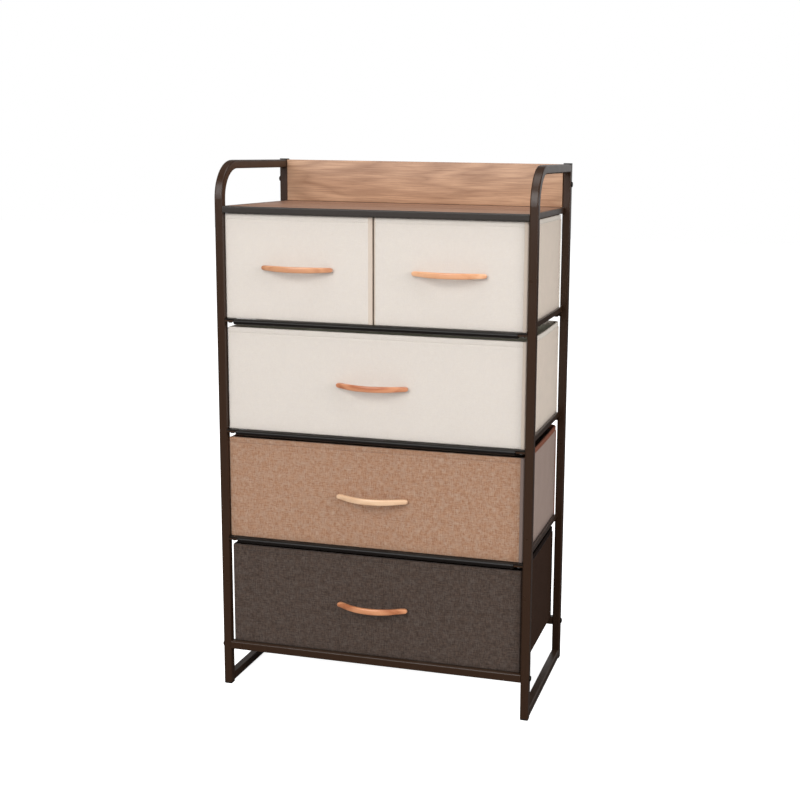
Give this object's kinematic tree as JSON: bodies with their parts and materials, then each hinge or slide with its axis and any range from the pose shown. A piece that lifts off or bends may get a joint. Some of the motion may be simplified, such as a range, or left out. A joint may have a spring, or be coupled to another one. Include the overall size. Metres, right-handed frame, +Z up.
{
  "type": "fabric drawer dresser",
  "caption": "Steel tube dresser with a wood top, a back rail board and side arms, and fabric drawers that slide out by wood bow handles.",
  "frame": {"origin": "on the floor, below the centre of the whole dresser's box", "axes": "+X to the right as seen from the front, +Y towards the back, +Z up; the drawers slide out along -Y"},
  "size_m": [0.585, 0.321, 0.967],
  "materials": {
    "frame_paint": "espresso powder coat, semi-gloss",
    "black_plastic": "matt moulded plastic",
    "screw_steel": "zinc-plated steel",
    "bolt_steel": "dark plated steel",
    "tabletop_wood": "laminate with a walnut grain along the width",
    "backboard_wood": "laminate with a walnut grain along the width",
    "handle_wood": "clear-varnished beech",
    "fibreboard": "bare fibreboard",
    "cream_fabric": "non-woven fabric over card",
    "taupe_fabric": "non-woven fabric over card",
    "dark_fabric": "non-woven fabric over card",
    "cream_linen": "linen-look weave",
    "brown_linen": "heathered linen-look weave",
    "dark_linen": "heathered linen-look weave"
  },
  "bodies": {
    "frame": {"backboard": "backboard_wood", "backboard_bolts": "bolt_steel", "bottom_rail_bolts": "bolt_steel", "foot_glides": "black_plastic", "front_bottom_rail": "frame_paint", "front_lower_rail": "frame_paint", "front_middle_rail": "frame_paint", "front_top_rail": "frame_paint", "front_upper_rail": "frame_paint", "left_floor_runner": "frame_paint", "left_rear_post": "frame_paint", "left_side_tube": "frame_paint", "left_stretchers": "frame_paint", "rail_inserts": "screw_steel", "rail_lugs": "frame_paint", "rail_screws": "screw_steel", "rail_spigots": "frame_paint", "rear_bottom_rail": "frame_paint", "rear_lower_rail": "frame_paint", "rear_middle_rail": "frame_paint", "rear_post_caps": "black_plastic", "rear_top_rail": "frame_paint", "rear_upper_rail": "frame_paint", "right_floor_runner": "frame_paint", "right_rear_post": "frame_paint", "right_side_tube": "frame_paint", "right_stretchers": "frame_paint", "tabletop": "tabletop_wood", "tabletop_lugs": "frame_paint", "tabletop_screws": "screw_steel"},
    "top_left_drawer": {"top_left_bin": "cream_fabric", "top_left_front_cover": "cream_linen", "top_left_front_board": "fibreboard", "top_left_base_board": "fibreboard", "top_left_handle": "handle_wood", "top_left_handle_screws": "screw_steel"},
    "top_right_drawer": {"top_right_bin": "cream_fabric", "top_right_front_cover": "cream_linen", "top_right_front_board": "fibreboard", "top_right_base_board": "fibreboard", "top_right_handle": "handle_wood", "top_right_handle_screws": "screw_steel"},
    "upper_drawer": {"upper_bin": "cream_fabric", "upper_front_cover": "cream_linen", "upper_front_board": "fibreboard", "upper_base_board": "fibreboard", "upper_handle": "handle_wood", "upper_handle_screws": "screw_steel"},
    "middle_drawer": {"middle_bin": "taupe_fabric", "middle_front_cover": "brown_linen", "middle_front_board": "fibreboard", "middle_base_board": "fibreboard", "middle_handle": "handle_wood", "middle_handle_screws": "screw_steel"},
    "lower_drawer": {"lower_bin": "dark_fabric", "lower_front_cover": "dark_linen", "lower_front_board": "fibreboard", "lower_base_board": "fibreboard", "lower_handle": "handle_wood", "lower_handle_screws": "screw_steel"}
  },
  "joints": [
    {"name": "top_left_drawer_slide", "type": "slide", "parent": "frame", "child": "top_left_drawer", "axis": [0, -1, 0], "range_m": [0, 0.24]},
    {"name": "top_right_drawer_slide", "type": "slide", "parent": "frame", "child": "top_right_drawer", "axis": [0, -1, 0], "range_m": [0, 0.24]},
    {"name": "upper_drawer_slide", "type": "slide", "parent": "frame", "child": "upper_drawer", "axis": [0, -1, 0], "range_m": [0, 0.24]},
    {"name": "middle_drawer_slide", "type": "slide", "parent": "frame", "child": "middle_drawer", "axis": [0, -1, 0], "range_m": [0, 0.24]},
    {"name": "lower_drawer_slide", "type": "slide", "parent": "frame", "child": "lower_drawer", "axis": [0, -1, 0], "range_m": [0, 0.24]}
  ]
}
